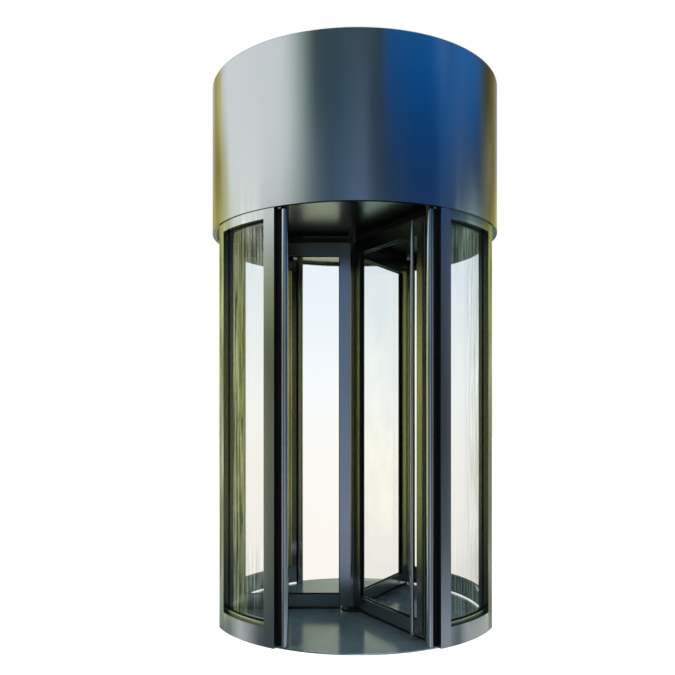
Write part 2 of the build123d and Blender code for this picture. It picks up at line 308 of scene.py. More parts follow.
def dull(name, colour, roughness, scale, grain, vary=0.15, **more):
    """A non-metal: noise shades the colour and the roughness a little, and bumps it. More
    inputs of its shader are given by their labels, with _ for a space."""
    material, tree, shader = new_material(name)
    fill(shader, {label.replace("_", " "): value for label, value in more.items()})
    place = add(tree, "ShaderNodeTexCoord")
    stretch = add(tree, "ShaderNodeMapping")
    fill(stretch, {"Scale": scale})
    tree.links.new(place.outputs["Object"], stretch.inputs["Vector"])
    cloud = noise(tree, stretch.outputs[0], {"Scale": 1.0, "Detail": 6.0})
    dark = tuple(c * (1 - vary) for c in colour)
    light = tuple(min(1.0, c * (1 + vary)) for c in colour)
    tree.links.new(mix_colour(tree, cloud, dark, light), shader.inputs["Base Color"])
    smoothest = roughness - ROUGHNESS_RANGE / 2
    rough = math_node(tree, "MULTIPLY_ADD", cloud, ROUGHNESS_RANGE, smoothest)
    tree.links.new(rough, shader.inputs["Roughness"])
    bump_surface(tree, shader, cloud, grain, TEXTURE_DEPTH)
    return material


def node_finishes(finish):
    """Every CAD node's finish, by the start or the end of its name."""
    grain = finish.grain
    steel_drum = metal("steel_brushed_drum", finish.steel, 0.15, 0.05, ALONG_ARC, grain, 0.7, 0.25)
    steel_arc = metal("steel_brushed_round", finish.steel, 0.09, 0.03, ALONG_ARC, grain)
    steel_up = metal("steel_brushed_upright", finish.steel, 0.14, 0.05, ALONG_HEIGHT, grain)
    tube = metal("steel_ground_tube", finish.tube, 0.13, 0.06, ALONG_HEIGHT, grain)
    # The shaft and the wings take the darker copy of the steel, which paints the shade inside the
    # drum.
    shaft = metal("shaft_cover", finish.wing, 0.15, 0.06, ALONG_HEIGHT, grain)
    wing_up = metal("wing_metal_upright", finish.wing, 0.20, 0.08, ALONG_HEIGHT, grain)
    wing_level = metal("wing_metal_level", finish.wing, 0.20, 0.08, ALONG_ARC, grain)
    # The beads' steel is tinted olive: a painted reflection of the greenery round the door.
    leaf_tinted_bead = metal("bead_metal_painted_leaf", (0.58, 0.64, 0.42), 0.25, 0.06, ALONG_ARC, grain)
    dark = dull("dark_enamel", (0.012, 0.013, 0.015), 0.75, (30, 30, 30), 0.1,
                Specular_IOR_Level=0.15)
    rubber = dull("black_gasket", (0.005, 0.006, 0.008), 0.6, (60, 60, 20), 0.2,
                  Specular_IOR_Level=0.15)
    bristle = dull("black_bristle", (0.008, 0.008, 0.009), 0.8, (900, 900, 60), 0.8)
    floor = dull("slate_floor", finish.floor, 0.17, (9, 9, 9), 0.03, 0.25)
    ceiling = metal("soffit_panel", finish.ceiling, 0.25, 0.05, (40, 3, 3), 0.1)
    # The skirting strips glow though they are no lamp: a painted highlight for the sky mirrored at
    # the walls' foot.
    dull("glowing_strip_painted_highlight", (0.92, 0.93, 0.92), 0.35, (20, 20, 20), 0.05, 0.04,
         Emission_Color=(1.0, 1.0, 0.98, 1.0), Emission_Strength=0.7)
    roof = dull("roof_sheet", (0.30, 0.31, 0.32), 0.45, (6, 6, 6), 0.05)
    front_pane = glass("front_glass_clear", finish.glass, 1.85)
    wall_pane = glass("wall_glass_clear", finish.glass, 1.25)
    wing_pane = glass("wing_glass_clear", finish.glass, 1.20)
    return [
        ("fascia", steel_drum), ("head_channels", dark),
        ("floor_plate", floor), ("floor_trims", tube), ("floor_bearing", dark),
        ("top_bearing", dark), ("ceiling_plate", ceiling), ("roof_cover", roof),
        ("mouth_gaskets", rubber), ("_mouth_tubes", tube), ("centre_shaft", shaft),
        ("_push_bar", tube), ("_seals", bristle), ("_middle_glass", wall_pane),
        ("_front_glass", front_pane), ("_rear_glass", wall_pane), ("_glass", wing_pane),
        ("_front_rails", steel_arc), ("_rear_rails", steel_arc), ("_middle_rails", steel_arc),
        ("_posts", steel_up), ("_stiles", wing_up), ("_rails", wing_level), ("wall_beads", leaf_tinted_bead),
    ]


class DOOR_OT_finishes(Operator):
    """Gives every CAD node its finish."""

    bl_idname = "door.finishes"
    bl_label = "Finishes"

    def execute(self, context):
        grain_group()
        finishes = node_finishes(context.scene.door_finish)
        for name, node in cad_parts.items():
            for key, material in finishes:
                if name.startswith(key) or name.endswith(key):
                    node.data.materials.clear()
                    node.data.materials.append(material)
                    break
            else:
                raise RuntimeError(f"no finish for {name}")
        return {"FINISHED"}


# ---------------------------------------------------------------- pieces


class DoorPieces(PropertyGroup):
    """Sizes of the small pieces."""

    gasket_width: FloatProperty(
        name="Gasket width", description="From the pane outward", unit="LENGTH", default=0.0042,
        min=0.002, max=0.02,
    )
    gasket_height: FloatProperty(
        name="Gasket height", description="From the frame onto the pane", unit="LENGTH",
        default=0.004, min=0.001, max=0.02,
    )
    tuft_width: FloatProperty(
        name="Tuft width", description="Of the bristles in the seals", unit="LENGTH",
        default=0.004, min=0.002, max=0.02,
    )
    skirting_height: FloatProperty(
        name="Skirting height", description="Of the strip at the inner foot of the walls",
        unit="LENGTH", default=0.009, min=0.002, max=0.02,
    )
    skirting_width: FloatProperty(
        name="Skirting width", description="Of the same strip", unit="LENGTH",
        default=0.005, min=0.002, max=0.02,
    )
    plate_depth: FloatProperty(
        name="Plate depth", description="Of the fixing plates at the push bars' brackets",
        unit="LENGTH", default=0.0025, min=0.001, max=0.01,
    )
    screw_radius: FloatProperty(
        name="Screw radius", description="Of the visible screw heads", unit="LENGTH",
        default=0.0045, min=0.002, max=0.01,
    )


PANE_STEPS = 24  # flats along the arc of a curved pane
# Signs of a rectangle's corners, in order round it.
CORNER_ACROSS = np.array([-1, 1, 1, -1])
CORNER_UP = np.array([-1, -1, 1, 1])
# A tuft's width and depth at its root and at its tip, as shares of the whole.
TUFT_WIDTHS = np.array([1.08, 0.92])
TUFT_DEPTHS = np.array([1.0, 0.55])
TUFT_LEAN = 0.15  # spread of the tips to either side, in tuft widths
LONGEST_SHORTFALL = 0.0004  # of a tuft's tip
FOOT_STRIP = 0.0016  # depth of the black sheet of painted shade under the drum's foot ring


def swept_piece(name, groups, material, body, closed=False):
    """Makes one object from solids swept through sections.

    Each group is an array of (solid, section, corner, xyz). Neighbouring sections are joined
    by quads; the two ends are capped, or joined to each other when closed. A solid whose
    signed volume comes out negative has its faces turned round."""
    points, faces, start = [], [], 0
    for group in groups:
        solids, sections, corners = group.shape[:3]
        ring = np.arange(corners)
        after = (ring + 1) % corners
        rows = np.arange(sections if closed else sections - 1)[:, None]
        here = rows * corners
        there = (rows + 1) % sections * corners
        quads = np.stack([here + ring, here + after, there + after, there + ring], -1)
        quads = quads.reshape(-1, 4)
        if not closed:
            fan = 2 * np.arange((corners - 2) // 2)
            cap = np.stack([0 * fan, fan + 1, fan + 2, fan + 3], -1)
            quads = np.concatenate([quads, cap[:, ::-1], cap + (sections - 1) * corners])
        block = group.reshape(solids, sections * corners, 3)
        a, b, c, d = (block[:, quads[:, k]] for k in range(4))
        volume = (a * (np.cross(b, c) + np.cross(c, d))).sum((1, 2))
        quads = np.repeat(quads[None], solids, 0)
        quads[volume < 0] = quads[volume < 0][:, :, ::-1]
        quads += start + (np.arange(solids) * sections * corners)[:, None, None]
        points.append(block.reshape(-1, 3))
        faces.append(quads.reshape(-1, 4))
        start += solids * sections * corners
    mesh = bpy.data.meshes.new(name)
    mesh.from_pydata(np.concatenate(points), [], np.concatenate(faces))
    mesh.materials.append(bpy.data.materials[material])
    piece = bpy.data.objects.new(name, mesh)
    bpy.context.scene.collection.objects.link(piece)
    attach(piece, body)
    return piece


def on_wings(along, off, height):
    """Points of all three wings, as (wing, ..., xyz): along the wing from the axis, off its
    middle plane and above the floor."""
    along, off, height = np.broadcast_arrays(along, off, height)
    turns = np.radians(WING_TURNS).reshape(-1, *[1] * along.ndim)
    x = along * np.cos(turns) - off * np.sin(turns)
    y = along * np.sin(turns) + off * np.cos(turns)
    return np.stack([x, y, np.broadcast_to(height, x.shape)], -1)


def rectangle_loop(steps):
    """Signs (across, up) round a rectangle, with its two long sides cut into steps."""
    walk = np.linspace(-1, 1, steps + 1)
    across = np.concatenate([walk, walk[::-1]])
    up = np.concatenate([-np.ones(steps + 1), np.ones(steps + 1)])
    return across, up


def wedge_rise(height, share):
    """How far the corners of a wedge gasket's section stand up from the frame: the whole
    height at the glass, and a share of it away from the glass."""
    return np.array([0.0, 0.0, share * height, height])


def curved_gasket(radius, side, arc, heights, width, height):
    """A wedge gasket round one curved pane: (1, section, corner, xyz). radius is the pane's
    face, side is 1 for a gasket outside it and -1 inside. arc is in radians,
    counter-clockwise from +X."""
    (start, end), (low, high) = arc, heights
    across, up = rectangle_loop(PANE_STEPS)
    reach = np.array([0.0, side * width, side * width, 0.0])
    rise = wedge_rise(height, 0.4)
    turn = (start + end) / 2 + across[:, None] * ((end - start) / 2 - rise / radius)
    level = (low + high) / 2 + up[:, None] * ((high - low) / 2 - rise)
    r = radius + reach + np.zeros_like(turn)
    return np.stack([r * np.cos(turn), r * np.sin(turn), level], -1)[None]


class DOOR_OT_gaskets(Operator):
    """Adds the black wedge gaskets round every pane."""

    bl_idname = "door.gaskets"
    bl_label = "Gaskets"

    def execute(self, context):
        sizes = context.scene.door_pieces
        width, height = sizes.gasket_width, sizes.gasket_height
        foot_gap, head_gap = 0.006, 0.012  # between the inner gaskets and the rails' edges
        loops = []
        for bay in ("front", "middle", "rear"):
            low, high, start, end = curved_extent(f"right_{bay}_glass")
            start, end = start + PANE_SEAT / high, end - PANE_SEAT / high
            top = span(f"right_{bay}_glass", 2)[1] - PANE_SEAT
            for arc in ((start, end), (math.pi - end, math.pi - start)):
                outer, inner = (BEAD_TOP, top), (BEAD_TOP + foot_gap, top - head_gap)
                loops.append(curved_gasket(high, 1, arc, outer, width, height))
                loops.append(curved_gasket(low, -1, arc, inner, width, height))
        swept_piece("wall_gaskets", loops, "black_gasket", "enclosure", closed=True)
        across, up = rectangle_loop(1)
        rise = wedge_rise(height, 0.5)
        seat = 0.62 * WING_HALF  # the wings' gaskets stay below the frames' faces
        outer, inner = span("wing_2_glass", 0)
        bottom, top = span("wing_2_glass", 2)
        loops = []
        for side in (1, -1):
            off = side * np.array([PANE_HALF, seat, seat, PANE_HALF])
            along = across[:, None] * ((inner - outer) / 2 - PANE_SEAT - rise) - (outer + inner) / 2
            level = (bottom + top) / 2 + up[:, None] * ((top - bottom) / 2 - PANE_SEAT - rise)
            loops.append(on_wings(along, off, level))
        swept_piece("wing_gaskets", loops, "black_gasket", "rotor", closed=True)
        return {"FINISHED"}


def tufts(spine, out, root, tip, across, width, seed):
    """Tapered tufts of bristle on the three wings: (tuft, section, corner, xyz).

    spine holds each tuft's place along its strip. out is "along" for tufts that point along
    the wing and "up" for ones that point up or down. Each runs from root to tip, a little
    short of it by chance, and leans to a side by chance."""
    chance = np.random.default_rng(seed)
    count = len(spine)
    lean = chance.normal(0, TUFT_LEAN * width, count)
    end = tip - np.sign(tip - root) * chance.uniform(0, LONGEST_SHORTFALL, count)
    place = spine[:, None] + lean[:, None] * np.array([0.0, 1.0])
    place = place[:, :, None] + (width / 2 * TUFT_WIDTHS)[None, :, None] * CORNER_ACROSS
    reach = np.stack([np.full(count, root), end], 1)[:, :, None] + 0 * place
    off = across * TUFT_DEPTHS[None, :, None] * CORNER_UP + 0 * place
    along, level = (reach, place) if out == "along" else (place, reach)
    return on_wings(along, off, level).reshape(-1, 2, 4, 3)


class DOOR_OT_bristles(Operator):
    """Adds the bristles and their carriers to the wings' seals."""

    bl_idname = "door.bristles"
    bl_label = "Bristles"

    def execute(self, context):
        width = context.scene.door_pieces.tuft_width
        across = SEAL_HALF + 0.0012  # the bristles cover the solid strips
        clear = 0.0003  # between the tips and the ceiling or the floor
        shaft = SHAFT_RADIUS + 0.004
        bearing = BEARING_RADIUS + 0.004
        # Each strip's tufts, which way they point, and their roots and tips: above the wing,
        # below it, beyond its edge, and against the shaft above it.
        strips = [
            (np.arange(shaft, SEAL_TIP, width), "up", WING_TOP + 0.010, CEILING - clear),
            (np.arange(bearing, SEAL_TIP, width), "up", WING_BOTTOM - 0.006, FLOOR_TOP + clear),
            (np.arange(FLOOR_TOP + 0.010, CEILING - 0.004, width), "along",
             WING_EDGE + 0.006, SEAL_TIP + 0.004),
            (np.arange(WING_TOP + 0.002, CEILING - 0.002, width), "along",
             SHAFT_RADIUS + 0.006, SHAFT_RADIUS + 0.0001),
        ]
        groups = [tufts(*strip, across, width, seed) for seed, strip in enumerate(strips, 1)]
        swept_piece("seal_bristles", groups, "black_bristle", "rotor")
        lip = SEAL_HALF + 0.0035  # half the carriers' width
        end = (CORNER_UP + 1) // 2

        def carrier(along, level, upright):
            """A bar round the root of one seal, with its two sections at the ends."""
            off = lip * CORNER_ACROSS
            if upright:
                ends = np.array(level)[:, None] + 0 * off
                run = along[0] + (along[1] - along[0]) * end + 0 * ends
            else:
                run = np.array(along)[:, None] + 0 * off
                ends = level[0] + (level[1] - level[0]) * end + 0 * run
            return on_wings(run, off, ends)

        bars = [
            carrier((shaft, WING_EDGE), (WING_TOP, WING_TOP + 0.012), False),
            carrier((bearing, WING_EDGE), (WING_BOTTOM - 0.008, WING_BOTTOM), False),
            carrier((WING_EDGE, WING_EDGE + 0.008), (WING_BOTTOM, WING_TOP), True),
        ]
        swept_piece("seal_carriers", bars, "wing_metal_level", "rotor")
        return {"FINISHED"}


def arc_bar(radii, heights, arc, steps):
    """A curved bar of a rectangular section: (1, section, corner, xyz)."""
    turn = np.linspace(*np.radians(arc), steps + 1)[:, None]
    r = np.array([radii[0], radii[1], radii[1], radii[0]])
    level = np.array([heights[0], heights[0], heights[1], heights[1]]) + 0 * turn
    return np.stack([r * np.cos(turn), r * np.sin(turn), level], -1)[None]


# The trims' arcs, in degrees counter-clockwise from +X: between the posts of the slim rear
# walls, between those of the deep front bays, and over the front mouth.
REAR_SKIRTINGS = ((-24.8, 59.5), (120.5, 204.8))
FRONT_SKIRTINGS = ((-59.5, -27.2), (207.2, 239.5))
HEAD_SEALS = ((-59.5, -25.2), (205.2, 239.5))
MOUTH_HEAD = (239.8, 300.2)


class DOOR_OT_trims(Operator):
    """Adds the strips at the inner foot of the walls, which glow as a painted highlight, the strips
    in the gap under the fascia, and a black sheet under the drum's foot ring over the front mouth
    as painted shade.
    """

    bl_idname = "door.trims"
    bl_label = "Trims"

    def execute(self, context):
        sizes = context.scene.door_pieces
        strip = (FLOOR_TOP, FLOOR_TOP + sizes.skirting_height)
        bars = []
        for wall, arcs, steps in (
            (INNER_WALL, REAR_SKIRTINGS, 56), (FRONT_WALL, FRONT_SKIRTINGS, PANE_STEPS),
        ):
            back = wall - 0.0003  # just off the wall
            radii = (back - sizes.skirting_width, back)
            bars += [arc_bar(radii, strip, arc, steps) for arc in arcs]
        # These strips glow: a painted highlight at the walls' foot.
        swept_piece("skirting_strips", bars, "glowing_strip_painted_highlight", "enclosure")
        gap = (WALL_TOP + 0.0002, DRUM_BOTTOM - 0.0002)  # under the drum, over the walls
        radii = (DRUM_RADIUS - 0.018, DRUM_RADIUS - 0.0083)
        bars = [arc_bar(radii, gap, arc, PANE_STEPS) for arc in HEAD_SEALS]
        swept_piece("head_seals", bars, "steel_brushed_round", "enclosure")
        # A black sheet under the drum's foot ring over the front mouth: painted shade on the ring's
        # underside.
        under = (DRUM_BOTTOM - FOOT_STRIP, DRUM_BOTTOM - 0.0001)
        radii = (DRUM_RADIUS - 0.0215, DRUM_RADIUS - 0.0035)
        bars = [arc_bar(radii, under, MOUTH_HEAD, 2 * PANE_STEPS)]
        swept_piece("mouth_head_painted_shade", bars, "black_gasket", "enclosure")
        return {"FINISHED"}


def ring_points(radius, turns, level):
    """Points on a level circle round the axis, at the turns in degrees."""
    turn = np.radians(turns)
    return np.stack([radius * np.cos(turn), radius * np.sin(turn), 0 * turn + level], -1)


# The outline of a domed screw head with a socket: (share of the radius, share of the depth).
HEAD_OUTLINE = [(1.0, 0.0), (1.0, 0.35), (0.86, 0.72), (0.62, 1.0), (0.46, 1.0), (0.40, 0.45)]
HEAD_CORNERS = 16


def screw_heads(places, axis, radius, depth):
    """Domed screw heads: (head, section, corner, xyz). places are the middles of their
    seats and axis the way each faces."""
    axis = axis / np.linalg.norm(axis, axis=1, keepdims=True)
    help_axis = np.where(np.abs(axis[:, 2:]) > 0.9, [[1.0, 0, 0]], [[0, 0, 1.0]])
    first = np.cross(axis, help_axis)
    first /= np.linalg.norm(first, axis=1, keepdims=True)
    second = np.cross(axis, first)
    first, second, axis = (way[:, None, None] for way in (first, second, axis))
    turn = np.linspace(0, 2 * np.pi, HEAD_CORNERS, endpoint=False)[:, None]
    wide, high = np.array(HEAD_OUTLINE).T[:, :, None, None]
    circle = np.cos(turn) * first + np.sin(turn) * second
    return places[:, None, None] + radius * wide * circle + depth * high * axis


class DOOR_OT_screws(Operator):
    """Adds the push bars' plates and the screws of the plates, the floor bearing and the
    drum's foot ring."""

    bl_idname = "door.screws"
    bl_label = "Screws"

    def execute(self, context):
        radius = context.scene.door_pieces.screw_radius
        depth = 0.5 * radius
        plate = context.scene.door_pieces.plate_depth
        bracket = 0.032  # from a bar's end to the middle of its bracket
        half_width, half_height = 0.013, 0.022  # of a plate
        screw_rise = 0.013  # of a plate's screws above and below its middle
        middles = np.array([BAR_BOTTOM + bracket, BAR_TOP - bracket])
        levels = middles[:, None, None] + half_height * CORNER_UP
        off = -WING_HALF - plate * np.array([0.0, 1.0])[:, None]
        plates = on_wings(BAR_PLACE + half_width * CORNER_ACROSS, off, levels)
        swept_piece("bar_plates", [plates.reshape(-1, 2, 4, 3)], "wing_metal_level", "rotor")
        spots = (middles[:, None] + np.array([-screw_rise, screw_rise])).ravel()
        seats = on_wings(BAR_PLACE, -WING_HALF - plate, spots).reshape(-1, 3)
        axes = on_wings(0.0, -1.0, 0 * spots).reshape(-1, 3)
        heads = [screw_heads(seats, axes, radius, depth)]
        swept_piece("bar_screws", heads, "steel_ground_tube", "rotor")
        flat = ring_points(0.72 * BEARING_RADIUS, np.arange(15, 375, 60), BEARING_TOP)
        mouths = np.concatenate([np.arange(66, 120, 12), np.arange(246, 300, 12)])
        foot = DRUM_RADIUS - 0.0125  # the middle of the drum's foot ring
        under = ring_points(foot, mouths, DRUM_BOTTOM - FOOT_STRIP)
        up = np.array([[0.0, 0.0, 1.0]])
        fixed = [screw_heads(flat, up, 1.3 * radius, depth), screw_heads(under, -up, radius, depth)]
        swept_piece("frame_screws", fixed, "steel_ground_tube", "enclosure")
        return {"FINISHED"}


# ---------------------------------------------------------------- stage

# What polished metal mirrors: bands of colours round the door, each at the sine of its
# height above the horizon. A place is a heading in degrees, 0 in front of the door, 90 on
# its right and -90 on its left.
SILVER = (0.94, 0.98, 0.99)
PALE_SILVER = (0.56, 0.60, 0.56)
LEAF = (0.48, 0.44, 0.13)
PALE_LEAF = (0.94, 1.0, 0.72)
BRIGHT = (1.0, 1.0, 0.97)
CLEAR_DAY = (0.58, 0.70, 0.86)
SLATE = (0.058, 0.110, 0.160)
DUSK = (0.046, 0.080, 0.120)
BRIGHT_BLUE = (0.0, 0.135, 0.47)
SKY = (0.020, 0.165, 0.50)
SHADE = (0.050, 0.062, 0.080)
BEHIND_LEFT = [(-180, PALE_LEAF), (-177, PALE_LEAF), (-173, (0.26, 0.28, 0.16))]
BEHIND_RIGHT = [
    (169, (0.10, 0.15, 0.14)), (173, (0.12, 0.18, 0.16)), (176, (0.35, 0.55, 0.48)),
    (178, (0.50, 0.62, 0.48)), (180, PALE_LEAF),
]

